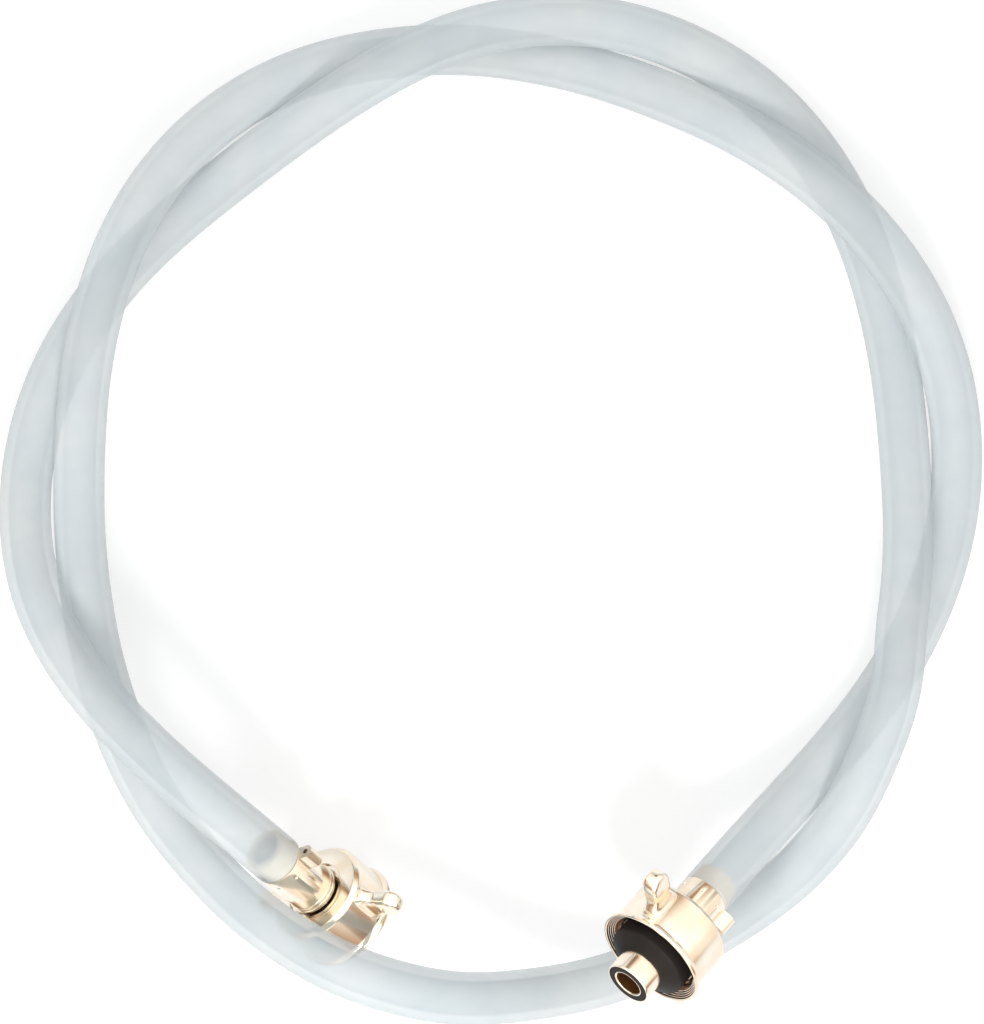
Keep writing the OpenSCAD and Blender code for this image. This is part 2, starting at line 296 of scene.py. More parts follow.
# The left nut is drawn forward on its flange, and the right one is slid back.
FORWARD = NUT_LEN - BACK_WALL - END_FLOAT
RIGHT = Coupling("right", (0.0555, -0.157, 0.060), (-137, 31), 223, 100, FORWARD - NUT_TRAVEL, 0.037)
LEFT = Coupling("left", (-0.05358, -0.14881, 0.02215), (-47, -37), 140, 120, FORWARD, 0.0258)

# Radius of the ring, alike for both turns: (degrees round, radius).
RADIUS = [
    (-15, 0.1595), (0, 0.163), (15, 0.1665), (30, 0.170), (45, 0.174), (60, 0.177), (75, 0.177),
    (90, 0.1745), (105, 0.171), (120, 0.169), (135, 0.1665), (150, 0.1645), (165, 0.163), (180, 0.161),
    (195, 0.157), (210, 0.1535), (225, 0.153), (240, 0.155), (255, 0.1585), (270, 0.1635),
    (285, 0.1675), (300, 0.1665), (315, 0.164), (330, 0.1605), (345, 0.1595), (360, 0.163),
]
# How far the two turns have wound round each other: (degrees round, degrees of winding).
WINDING = [
    (-90, -90), (-72, -90), (-58, -86), (-46, -55), (-35, -24), (-24, 0), (-14, 32), (0, 68),
    (37, 180), (95, 360), (148, 540), (207, 720), (226, 776), (244, 806), (262, 810), (320, 810),
]
# How far something holds the hose up off its plain lay: (degrees round both turns, height).
LIFT = [
    (-60, 0), (-40, 0), (120, 0), (142, 0), (160, 0.004), (176, 0.012), (192, 0.023), (207, 0.031),
    (218, 0.034), (230, 0.039), (242, 0.051), (253, 0.057), (265, 0.048), (278, 0.0195), (290, 0.002),
    (301, -0.001), (311, 0.002), (322, 0.007), (333, 0.008), (346, 0.004), (360, 0), (372, 0),
    (480, 0), (502, 0), (520, 0.004), (536, 0.012), (552, 0.023), (567, 0.032), (584, 0.038),
]
# Degrees round at which the second turn takes over, and between which the hose lies as the tables say.
FIRST_TURN_END = 290
LAY_START = -8
LAY_END = 548
# How the hose swings from there to the couplings, and how many points each stretch has.
BLEND_PULL = 1.1
LAY_STEPS = 560
BLEND_STEPS = 40
STRAIGHT_STEPS = 8
SWELL_STEPS = 5
SWELL_LEN = 0.0009


def ease(p0, m0, p1, m1, u):
    """A point on the cubic from p0 to p1 that leaves with m0 and arrives with m1."""
    return (
        p0 * (2 * u**3 - 3 * u**2 + 1)
        + m0 * (u**3 - 2 * u**2 + u)
        + p1 * (3 * u**2 - 2 * u**3)
        + m1 * (u**3 - u**2)
    )


def smooth(table, x):
    """A smooth curve through a table of (place, value)."""

    def slope(k):
        a, b = max(k - 1, 0), min(k + 1, len(table) - 1)
        return (table[b][1] - table[a][1]) / (table[b][0] - table[a][0])

    k = max([i for i in range(len(table) - 1) if table[i][0] <= x], default=0)
    (x0, y0), (x1, y1) = table[k], table[k + 1]
    h = x1 - x0
    return ease(y0, h * slope(k), y1, h * slope(k + 1), (x - x0) / h)


def over(c):
    """Share of the stack's height at a winding whose cosine is c: 0 when under, 1 when over."""
    return (c + math.sqrt(c * c + SOFTNESS**2) - math.sqrt(1 + SOFTNESS**2) + 1) / 2


def lay_point(t):
    """The hose's centreline at t degrees round, counted on through both turns."""
    second = t > FIRST_TURN_END
    turn = t - 360 if second else t
    side = -1 if second else 1
    winding = math.radians(smooth(WINDING, turn))
    r = smooth(RADIUS, turn + 360 if turn < RADIUS[0][0] else turn)
    r += side * (HOSE_OD + SIDE_GAP) / 2 * math.sin(winding)
    rest = HOSE_OD / 2 - FLAT_SHARE * HOSE_OD
    z = rest + (HOSE_OD + TOP_GAP) * over(-side * math.cos(winding)) + smooth(LIFT, t)
    a = math.radians(t)
    return Vector((r * math.cos(a), r * math.sin(a), z)) + RING_MIDDLE


def lay_way(t):
    """The way the centreline runs at t degrees round."""
    return (lay_point(t + 0.5) - lay_point(t - 0.5)).normalized()


def hose_end(coupling):
    """Points and radii of one end of the hose, pressed in as far as the sleeve goes, then swelling out."""
    points = []
    for k in range(STRAIGHT_STEPS + 1):
        place = HOSE_START + (SLEEVE_BACK - HOSE_START) * k / STRAIGHT_STEPS
        points.append((coupling.at(place), SQUEEZED_R))
    for k in range(1, SWELL_STEPS + 1):
        u = k / SWELL_STEPS
        radius = SQUEEZED_R + SQUEEZE * math.sin(u * math.pi / 2)
        points.append((coupling.at(SLEEVE_BACK - SWELL_LEN * u), radius))
    swollen = SLEEVE_BACK - SWELL_LEN
    rest = HOSE_START - coupling.run - swollen
    for k in range(1, STRAIGHT_STEPS + 1):
        points.append((coupling.at(swollen + rest * k / STRAIGHT_STEPS), HOSE_OD / 2))
    return points


def blend(p0, way0, p1, way1):
    """Points between two places, without the ends, that leave and arrive along the given ways."""
    pull = BLEND_PULL * (p1 - p0).length
    return [ease(p0, way0 * pull, p1, way1 * pull, k / BLEND_STEPS) for k in range(1, BLEND_STEPS)]


def hose_path():
    """Points of the whole hose with its outer radius there, from the right coupling round to the left one."""
    right, left = hose_end(RIGHT), hose_end(LEFT)
    step = (LAY_END - LAY_START) / LAY_STEPS
    lay = [lay_point(LAY_START + k * step) for k in range(LAY_STEPS + 1)]
    free = [
        *blend(right[-1][0], -RIGHT.way, lay[0], lay_way(LAY_START)),
        *lay,
        *blend(lay[-1], lay_way(LAY_END), left[-1][0], LEFT.way),
    ]
    return [*right, *((point, HOSE_OD / 2) for point in free), *reversed(left)]


# --- Camera -----------------------------------------------------------------------------------

CAMERA_HEIGHT = 0.9
VIEW_LEVEL = 0.015
VIEW_TALL = 0.3793
SENSOR = 24.0


def look_down():
    """A camera straight above the ring that takes in VIEW_TALL metres at the height VIEW_LEVEL."""
    camera = bpy.data.cameras.new("camera")
    camera.sensor_fit = "VERTICAL"
    camera.sensor_height = SENSOR
    camera.lens = SENSOR * (CAMERA_HEIGHT - VIEW_LEVEL) / VIEW_TALL
    camera.clip_start = 0.01
    camera.clip_end = 20
    holder = bpy.data.objects.new("camera", camera)
    holder.location = RING_MIDDLE + Vector((0, 0, CAMERA_HEIGHT))
    scene.collection.objects.link(holder)
    scene.camera = holder


look_down()

# --- Shader writing ---------------------------------------------------------------------------

# The places of a Mix node's factor and colours among its inputs, and of its colour among its outputs.
MIX_FACTOR, MIX_A, MIX_B = 0, 6, 7
MIX_COLOUR = 2


class Value:
    """A socket's value that takes part in Python arithmetic. Each operation adds a Math node."""

    def __init__(self, tree, socket):
        self.tree = tree
        self.socket = socket

    def math(self, operation, *others, clamp=False):
        """A Math node that takes this value first and the others after it."""
        values = {0: self, **{k + 1: other for k, other in enumerate(others)}}
        return self.tree.add("ShaderNodeMath", {"operation": operation, "use_clamp": clamp}, values)

    def __add__(self, other):
        return self.math("ADD", other)

    def __radd__(self, other):
        return self.math("ADD", other)

    def __sub__(self, other):
        return self.math("SUBTRACT", other)

    def __rsub__(self, other):
        return self.tree.add("ShaderNodeMath", {"operation": "SUBTRACT"}, {0: other, 1: self})

    def __mul__(self, other):
        return self.math("MULTIPLY", other)

    def __rmul__(self, other):
        return self.math("MULTIPLY", other)

    def clamped(self):
        """Kept between 0 and 1."""
        return self.math("ADD", 0.0, clamp=True)

    def between(self, low, high):
        """0 below low, 1 above high, and smooth from one to the other."""
        inputs = {"Value": self, "From Min": low, "From Max": high}
        return self.tree.add("ShaderNodeMapRange", {"interpolation_type": "SMOOTHSTEP"}, inputs)


class Tree:
    """The node tree of a material or of the world."""

    def __init__(self, owner, output="ShaderNodeOutputMaterial"):
        owner.use_nodes = True
        self.nodes = owner.node_tree.nodes
        self.links = owner.node_tree.links
        self.nodes.clear()
        self.output = self.nodes.new(output)

    def feed(self, socket, value):
        """Links a Value to the socket, or sets the socket to a constant."""
        if isinstance(value, Value):
            self.links.new(value.socket, socket)
        else:
            socket.default_value = value

    def add(self, kind, settings=None, inputs=None, output=0):
        """Adds a node, sets its settings, then feeds its sockets, and gives the output asked for."""
        node = self.nodes.new(kind)
        for name, value in (settings or {}).items():
            setattr(node, name, value)
        for name, value in (inputs or {}).items():
            self.feed(node.inputs[name], value)
        return Value(self, node.outputs[output])

    def close(self, shader, socket="Surface"):
        """Links a shader to the tree's output."""
        self.links.new(shader.socket, self.output.inputs[socket])

    def noise(self, scale, detail, roughness=0.5):
        """Noise that is fixed to the piece. A greater scale makes it finer."""
        place = self.add("ShaderNodeTexCoord", output="Object")
        inputs = {"Vector": place, "Scale": scale, "Detail": detail, "Roughness": roughness}
        return self.add("ShaderNodeTexNoise", None, inputs)

    def ray(self, kind):
        """1 for rays of the kind, 0 for others."""
        return self.add("ShaderNodeLightPath", output=f"Is {kind} Ray")

    def mix_colour(self, factor, a, b):
        """Colour a where the factor is 0, and colour b where it is 1."""
        a, b = (colour if isinstance(colour, Value) else (*colour, 1.0) for colour in (a, b))
        inputs = {MIX_FACTOR: factor, MIX_A: a, MIX_B: b}
        return self.add("ShaderNodeMix", {"data_type": "RGBA"}, inputs, MIX_COLOUR)

    def bump(self, height, strength, distance):
        inputs = {"Strength": strength, "Distance": distance, "Height": height}
        return self.add("ShaderNodeBump", None, inputs)

    def principled(self, **inputs):
        """Closes the tree with a Principled shader. A socket's name is its key with spaces and capitals."""
        named = {key.replace("_", " ").title().replace("Ior", "IOR"): value for key, value in inputs.items()}
        self.close(self.add("ShaderNodeBsdfPrincipled", None, named))


# --- Finishes ---------------------------------------------------------------------------------

# Each finish runs from one shade to another.
HOSE_SHADES = (0.88, 0.965, 1.0), (0.95, 0.995, 1.0)
METAL_SHADES = (0.87, 0.80, 0.69), (0.82, 0.70, 0.55)
PRESSED_SHADES = (0.97, 0.80, 0.60), (1.0, 0.88, 0.72)
# The thread's hollows take a near-black colour that is painted shade, not a tarnish of the metal.
THREAD_PAINTED_SHADES = (0.06, 0.03, 0.02), (0.26, 0.12, 0.06)
BRASS_SHADES = (0.45, 0.25, 0.10), (0.72, 0.46, 0.22)
RUBBER_SHADES = (0.010, 0.008, 0.007), (0.030, 0.025, 0.022)
HAZE = {"Color": (0.3, 0.44, 0.5, 1), "Density": 3.0}


def new_material(name):
    """A new material with its empty tree."""
    material = bpy.data.materials.new(name)
    return material, Tree(material)


def clear_hose(name, skin):
    """Milky translucent hose, cool white. Its skin hides about the given share of what lies behind."""
    material, tree = new_material(name)
    cloud = tree.noise(30, 3)
    streak = tree.noise(240, 2)
    tree.principled(
        base_color=tree.mix_colour(cloud.between(0.3, 0.7), *HOSE_SHADES),
        roughness=0.32 + cloud * 0.2,
        specular_ior_level=0.25,
        alpha=(skin + (cloud - 0.5) * 0.2).clamped(),
        normal=tree.bump(streak, 0.05, 0.0004),
        ior=1.35,
    )
    tree.close(tree.add("ShaderNodeVolumeAbsorption", None, HAZE), "Volume")
    return material


def bright_metal():
    """Polished nickel worn to the brass: warm and mirror-like, with fine wipe marks and tarnished clouds."""
    material, tree = new_material("bright_metal")
    patches = tree.noise(70, 3)
    wipes = tree.noise(900, 2, 0.6)
    worn = patches.between(0.42, 0.68)
    tree.principled(
        base_color=tree.mix_colour(worn, *METAL_SHADES),
        metallic=1.0,
        roughness=0.07 + patches * 0.16,
        normal=tree.bump(wipes, 0.06, 0.0001),
    )
    return material


def pressed_hose():
    """The hose's wall where it is stretched over a tail, with the metal's warm tone showing through."""
    material, tree = new_material("pressed_hose")
    cloud = tree.noise(200, 2)
    tree.principled(base_color=tree.mix_colour(cloud, *PRESSED_SHADES), roughness=0.4 + cloud * 0.1)
    return material


def dull_thread():
    """Dark metal for the thread's hollows: painted shade, as the hollows lie in shadow."""
    material, tree = new_material("dull_thread")
    patches = tree.noise(160, 3)
    tree.principled(
        base_color=tree.mix_colour(patches.between(0.35, 0.65), *THREAD_PAINTED_SHADES),
        metallic=1.0,
        roughness=0.28 + patches * 0.2,
    )
    return material


def bare_brass():
    """The bore, left unplated."""
    material, tree = new_material("bare_brass")
    patches = tree.noise(120, 3)
    tree.principled(
        base_color=tree.mix_colour(patches, *BRASS_SHADES),
        metallic=1.0,
        roughness=0.25 + patches * 0.15,
    )
    return material


def black_rubber():
    """Moulded rubber: near black, with a fine grain and a thin bloom of dust."""
    material, tree = new_material("black_rubber")
    grain = tree.noise(1400, 3, 0.6)
    dust = tree.noise(90, 3)
    tree.principled(
        base_color=tree.mix_colour(dust, *RUBBER_SHADES),
        roughness=0.42 + dust * 0.2,
        specular_ior_level=0.12,
        normal=tree.bump(grain, 0.15, 0.0001),
    )
    return material


HOSE_SKIN = clear_hose("clear_hose", skin=0.51)
BORE_SKIN = clear_hose("hose_bore", skin=0.06)
METAL = bright_metal()
BRASS = bare_brass()
RUBBER = black_rubber()
PRESSED = pressed_hose()
# The thread's finish is painted shade for its hollows.
THREAD = dull_thread()

# --- Mesh writing -----------------------------------------------------------------------------

# The most of a side that a corner's arc takes up, and the smallest arc that is made.
LONGEST_ARC = 0.45
SHORTEST_ARC = 1e-6


def add_mesh(name, verts, faces):
    """Links a new mesh to the scene."""
    mesh = bpy.data.meshes.new(name)
    mesh.from_pydata([tuple(v) for v in verts], [], faces)
    thing = bpy.data.objects.new(name, mesh)
    scene.collection.objects.link(thing)
    return thing


def face_outward(mesh, sharp=None):
    """Turns every face outward. Given an angle in degrees, it also smooths all edges less sharp than that."""
    work = bmesh.new()
    work.from_mesh(mesh)
    bmesh.ops.recalc_face_normals(work, faces=work.faces)
    if sharp is not None:
        for face in work.faces:
            face.smooth = True
        for edge in work.edges:
            edge.smooth = len(edge.link_faces) == 2 and edge.calc_face_angle(0) < math.radians(sharp)
    work.to_mesh(mesh)
    work.free()


def settle(piece, finish, node, body, slot, sharp=32):
    """Smooths a piece, gives it its finish, and says what it rides on and which CAD node it shows."""
    face_outward(piece.data, sharp)
    piece.data.materials.clear()
    piece.data.materials.append(finish)
    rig.slot(piece, slot)
    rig.ride(piece, body)
    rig.replaces(piece, node)


def finish_mesh(name, verts, faces, finish, node, body, slot, sharp=32):
    """Adds a mesh as a finished piece."""
    piece = add_mesh(name, verts, faces)
    piece.data.validate()
    settle(piece, finish, node, body, slot, sharp)
    return piece


def rough_solid(name, verts, faces):
    """Adds a closed mesh that is still to be joined or cut."""
    solid = add_mesh(name, verts, faces)
    face_outward(solid.data)
    return solid


def combine(piece, tools, operation):
    """Joins the tools to the piece, or cuts them from it, and applies the result."""
    for tool in tools:
        step = piece.modifiers.new("combine", "BOOLEAN")
        step.operation = operation
        step.solver = "EXACT"
        step.object = tool
    bpy.context.view_layer.update()
    done = bpy.data.meshes.new_from_object(piece.evaluated_get(bpy.context.evaluated_depsgraph_get()))
    piece.modifiers.clear()
    piece.data = done
    for tool in tools:
        bpy.data.objects.remove(tool)


def lathe(profile, sides, bend=None):
    """Vertices and faces of a closed profile of (radius, along) turned round the +Z axis."""
    n = len(profile)
    verts, faces = [], []
    for s in range(sides):
        a = 2 * math.pi * s / sides
        for k, (r, z) in enumerate(profile):
            r = bend(k, r, z, a) if bend else r
            verts.append(Vector((r * math.cos(a), r * math.sin(a), z)))
    for s in range(sides):
        t = (s + 1) % sides
        for k in range(n):
            m = (k + 1) % n
            faces.append((s * n + k, t * n + k, t * n + m, s * n + m))
    return verts, faces


def loft(rings):
    """Vertices and faces of a closed solid through rings that have equally many points."""
    n = len(rings[0])
    last = (len(rings) - 1) * n
    faces = []
    for start in range(0, last, n):
        for s in range(n):
            t = (s + 1) % n
            faces.append((start + s, start + n + s, start + n + t, start + t))
    faces.append(tuple(range(n)))
    faces.append(tuple(reversed(range(last, last + n))))
    return [v for ring in rings for v in ring], faces


def placed(seat, verts):
    """The vertices where the matrix seat puts them."""
    return [seat @ v for v in verts]


def half_turn(steps):
    """Angles from -90 degrees to 90, in radians."""
    return [math.radians(-90 + 180 / steps * k) for k in range(steps + 1)]


def rounded(points, radius, steps=4):
    """The closed profile with each corner eased in an arc. Each corner has a radius of its own."""
    out = []
    n = len(points)
    for k in range(n):
        a, b, c = (Vector(points[(k + j) % n]) for j in (-1, 0, 1))
        to_a, to_c = a - b, c - b
        r = min(radius[k], LONGEST_ARC * to_a.length, LONGEST_ARC * to_c.length)
        if r < SHORTEST_ARC:
            out.append(tuple(b))
            continue
        p, q = b + to_a.normalized() * r, b + to_c.normalized() * r
        for j in range(steps + 1):
            u = j / steps
            out.append(tuple(p * (1 - u) ** 2 + b * 2 * u * (1 - u) + q * u**2))
    return out


# --- The hose ---------------------------------------------------------------------------------

HOSE_SIDES = 40


def ring_round(path, k, radius):
    """One ring of the hose's wall. What would lie under the surface is pressed up onto it."""
    a, b = path[max(k - 1, 0)], path[min(k + 1, len(path) - 1)]
    way = (b - a).normalized()
    side = Vector((0, 0, 1)).cross(way).normalized()
    top = way.cross(side)
    ring = []
    for s in range(HOSE_SIDES):
        t = 2 * math.pi * s / HOSE_SIDES
        p = path[k] + radius * (math.cos(t) * side + math.sin(t) * top)
        ring.append(Vector((p.x, p.y, max(p.z, 0))))
    return ring


def make_hose():
    """The hose's wall, open right through, with what its cord has to say about it."""
    route = hose_path()
    path = [point for point, _ in route]
    n, m = len(path), HOSE_SIDES
    verts = [v for k in range(n) for v in ring_round(path, k, route[k][1])]
    verts += [v for k in range(n) for v in ring_round(path, k, HOSE_BORE / 2)]
    faces = []
    for k in range(n - 1):
        for s in range(m):
            a, b = k * m + s, k * m + (s + 1) % m
            faces.append((a, a + m, b + m, b))
            faces.append((n * m + a, n * m + b, n * m + b + m, n * m + a + m))
    for start in (0, (n - 1) * m):
        for s in range(m):
            a, b = start + s, start + (s + 1) % m
            faces.append((a, b, n * m + b, n * m + a))
    hose = finish_mesh("hose_wall", verts, faces, HOSE_SKIN, "hose", "hose_line", "clear_hose", sharp=40)
    hose.data.materials.append(BORE_SKIN)
    # Outer and inner faces take turns, up to the two end rings.
    for k in range(1, 2 * (n - 1) * m, 2):
        hose.data.polygons[k].material_index = 1
    length = sum((q - p).length for p, q in zip(path, path[1:]))
    return {"obj": hose, "exit": path[0], "length": length, "path": path}


hose_line = make_hose()

# --- The nuts ---------------------------------------------------------------------------------

NUT_SIDES = 180
FLARE_STEPS = 12
# The lip's outer edge, and the step from its face down into the mouth.
LIP_ROUND = 0.0001
LIP_ROUND_LEN = 0.0002
LIP_FACE = 0.00035
MOUTH_OUT = 0.0001
MOUTH_IN = 0.00005
MOUTH_START = -0.00015
# The fine ridges behind the lip, and the grooves between them.
MOUTH_RIDGES = 5
RIDGE_PITCH = 0.0005
RIDGE_H = 0.00014
RIDGE_BACK = 0.00004
GROOVE_DEPTH = 0.0001
GROOVE_AT = 0.7
# The thread's rows, its distance from the ridges and the back wall, its crests, and its lead-in.
THREAD_ROWS = 96
THREAD_GAP = 0.00002
THREAD_RELIEF = 0.0006
CREST_WIDTH = 1.5
CREST_SLOPE = 3.0
LEAD_IN_ROWS = 8
# How near the wall a hollow is painted dark as shade, and what stays bright by the back wall and on each ridge.
HOLLOW_DEPTH = 0.0003
BACK_CLEAR = 0.0001
BRIGHT_SHARE = 0.1

EAR_SIDES = 48
EAR_ROWS = 40
# An ear narrows over this share of its length, and its head thickens over a short way.
EAR_TAPER = 0.55
HEAD_START = 0.0052
HEAD_SWELL = 0.0026
# How square an ear's section is in thickness and in length, how blunt its end is, and its least size.
THICK_POWER = 0.4
LONG_POWER = 0.55
CAP_POWER = 0.45
CAP_LEAST_LONG = 0.02
CAP_LEAST_THICK = 0.001


def nut_profile():
    """The nut's cut, the place of the thread's first point in it, and the place just past its last."""
    hole_r = HOLE_D / 2
    recess_r = hole_r + BACK_RECESS
    mouth_r = LIP_OD / 2 - LIP_EDGE
    flare = (LIP_OD - NUT_OD) / 2
    rise = FLARE_LEN - LIP_EDGE
    back = rounded(
        [
            (hole_r, -NUT_LEN + BACK_WALL),
            (hole_r, -NUT_LEN + RECESS_DEPTH),
            (recess_r, -NUT_LEN + RECESS_DEPTH),
            (recess_r, -NUT_LEN),
            (NUT_OD / 2 - BACK_BEVEL, -NUT_LEN),
            (NUT_OD / 2, -NUT_LEN + BACK_BEVEL),
            (NUT_OD / 2, -FLARE_LEN),
            (NUT_OD / 2, -FLARE_LEN + HAIR),
        ],
        [0, 0, 0, RECESS_ROUND, BACK_ROUND, BACK_ROUND, 0, 0],
    )
    curve = [math.radians(90 / FLARE_STEPS * k) for k in range(1, FLARE_STEPS + 1)]
    outside = [(NUT_OD / 2 + flare * (1 - math.cos(a)), -FLARE_LEN + rise * math.sin(a)) for a in curve]
    lip = [
        (LIP_OD / 2 - LIP_ROUND, -LIP_ROUND_LEN),
        (LIP_OD / 2 - LIP_FACE, 0),
        (mouth_r + MOUTH_OUT, 0),
        (mouth_r - MOUTH_IN, MOUTH_START),
    ]
    step = (mouth_r - THREAD_MAJOR / 2) / MOUTH_RIDGES
    for k in range(MOUTH_RIDGES):
        r, z = mouth_r - MOUTH_IN - k * step, MOUTH_START - k * RIDGE_PITCH
        lip += [
            (r - RIDGE_H, z - RIDGE_BACK),
            (r + GROOVE_DEPTH, z - GROOVE_AT * RIDGE_PITCH),
            (r - step, z - RIDGE_PITCH),
        ]
    front = MOUTH_START - MOUTH_RIDGES * RIDGE_PITCH - THREAD_GAP
    end = -NUT_LEN + BACK_WALL + THREAD_RELIEF
    inside = [(THREAD_MAJOR / 2, front + (end - front) * k / THREAD_ROWS) for k in range(THREAD_ROWS + 1)]
    close = [(THREAD_BORE / 2, -NUT_LEN + BACK_WALL)]
    first = len(back) + len(outside) + len(lip)
    return back + outside + lip + inside + close, first, first + THREAD_ROWS + 1


def thread_bend(first, last):
    """Turns the plain bore between two places in the profile into a helical G thread."""
    depth = (THREAD_MAJOR - THREAD_BORE) / 2

    def bend(k, r, z, a):
        if not first <= k < last:
            return r
        wave = (z / THREAD_PITCH - a / (2 * math.pi)) % 1.0
        crest = min(1.0, max(0.0, CREST_WIDTH - CREST_SLOPE * abs(wave - 0.5)))
        lead_in = min(1.0, (k - first) / LEAD_IN_ROWS)
        return r - depth * crest * lead_in

    return bend


def eased(u):
    """0 below 0, 1 above 1, and smooth from one to the other."""
    u = min(1.0, max(0.0, u))
    return u * u * (3 - 2 * u)


def squared(part, power):
    """A sine or cosine pushed outward, which makes a circle a rounded oblong."""
    return math.copysign(abs(part) ** power, part)


def ear_loft():
    """An ear standing along +X: a flowing foot, a flat web and a thick head with a domed end."""
    root = (NUT_OD + THREAD_MAJOR) / 4
    body = NUT_OD / 2
    head = EAR_REACH - EAR_HEAD_D / 2
    rings = []
    for row in range(EAR_ROWS):
        u = row / (EAR_ROWS - 1)
        x = root + (EAR_REACH - root) * math.sin(u * math.pi / 2)
        past_body = max(x - body, 0)
        flow = max(0.0, 1 - past_body / EAR_FLOW) ** 2
        slim = eased(past_body / (EAR_TAPER * (head - body)))
        thick = eased((x - head + HEAD_START) / HEAD_SWELL)
        half_long = EAR_FOOT / 2 + (EAR_HEAD_D - EAR_FOOT) / 2 * slim
        half_thick = EAR_WEB / 2 + (EAR_HEAD - EAR_WEB) / 2 * thick + EAR_FLARE * flow
        if x > head:
            cap = math.sqrt(max(0.0, 1 - ((x - head) / (EAR_REACH - head)) ** 2))
            half_long *= max(cap, CAP_LEAST_LONG)
            half_thick *= max(cap, CAP_LEAST_THICK) ** CAP_POWER
        ring = []
        for s in range(EAR_SIDES):
            a = 2 * math.pi * s / EAR_SIDES
            y = half_thick * squared(math.cos(a), THICK_POWER)
            z = half_long * squared(math.sin(a), LONG_POWER)
            ring.append(Vector((x, y, z - EAR_BACK)))
        rings.append(ring)
    return loft(rings)


def paint_shade_in_hollows(nut, inverse):
    """Paints shade onto the thread's hollows, and those between the mouth's fine ridges, as a dark metal finish."""
    nut.data.materials.append(THREAD)
    wide, narrow = LIP_OD / 2 - LIP_EDGE, THREAD_MAJOR / 2
    for face in nut.data.polygons:
        middle = inverse @ face.center
        r, deep = math.hypot(middle.x, middle.y), MOUTH_START - middle.z
        turns = deep / RIDGE_PITCH
        if deep < 0 or middle.z < -NUT_LEN + BACK_WALL + BACK_CLEAR:
            continue
        wall = max(narrow, wide - (wide - narrow) * turns / MOUTH_RIDGES) + HOLLOW_DEPTH
        on_ridge = turns < MOUTH_RIDGES and turns % 1.0 < BRIGHT_SHARE
        if r < wall and not on_ridge and r > THREAD_BORE / 2 + HOLLOW_DEPTH:
            face.material_index = 1


def make_nut(coupling):
    """A wing nut: turned and threaded, with an ear on either side."""
    profile, first, last = nut_profile()
    verts, faces = lathe(profile, NUT_SIDES, thread_bend(first, last))
    nut = rough_solid(f"{coupling.name}_wing_nut", placed(coupling.nut, verts), faces)
    ears = []
    for side in (0, math.pi):
        verts, faces = ear_loft()
        turn = Matrix.Rotation(coupling.ears + side, 4, "Z")
        ears.append(rough_solid("ear", placed(coupling.nut, placed(turn, verts)), faces))
    combine(nut, ears, "UNION")
    node = f"{coupling.name}_nut"
    settle(nut, METAL, node, node, "bright_metal", sharp=38)
    paint_shade_in_hollows(nut, coupling.nut.inverted())
    return nut


# --- What is fixed to the hose ----------------------------------------------------------------

TURNED_SIDES = 96
PRESSED_SIDES = 64
COLLAR_STEPS = 12
BEAD_STEPS = 8
CLIP_STEPS = 16
SLOT_SIDES = 32
NOSE_ROUND = 0.00006
# Faces that are this close to the bore's wall are bare brass.
BRASS_REACH = 0.00005
# The radius of the pressed wall past the sleeve, the slope up to it, and its gap under the hose's skin.
PAST_SLEEVE_R = 0.0079
PAST_SLEEVE_SLOPE = 0.001
SKIN_GAP = 0.00005
# The gasket's corners, from inside its back, round its outside, to its tip.
GASKET_ROUNDS = [0, 0.0002, 0.0007, 0.0003, 0.0001]
# The nose seal's play in its groove, how deep it sits, and its rounded front.
SEAL_SLIP = 0.00002
SEAL_SUNK = 0.0001
SEAL_ROUND = 0.0004


def turned_piece(coupling, name, profile, finish, node, slot, sides=TURNED_SIDES):
    """A piece turned about the tail's axis and fixed to the hose."""
    verts, faces = lathe(profile, sides)
    return finish_mesh(name, placed(coupling.tail, verts), faces, finish, node, "hose_line", slot)


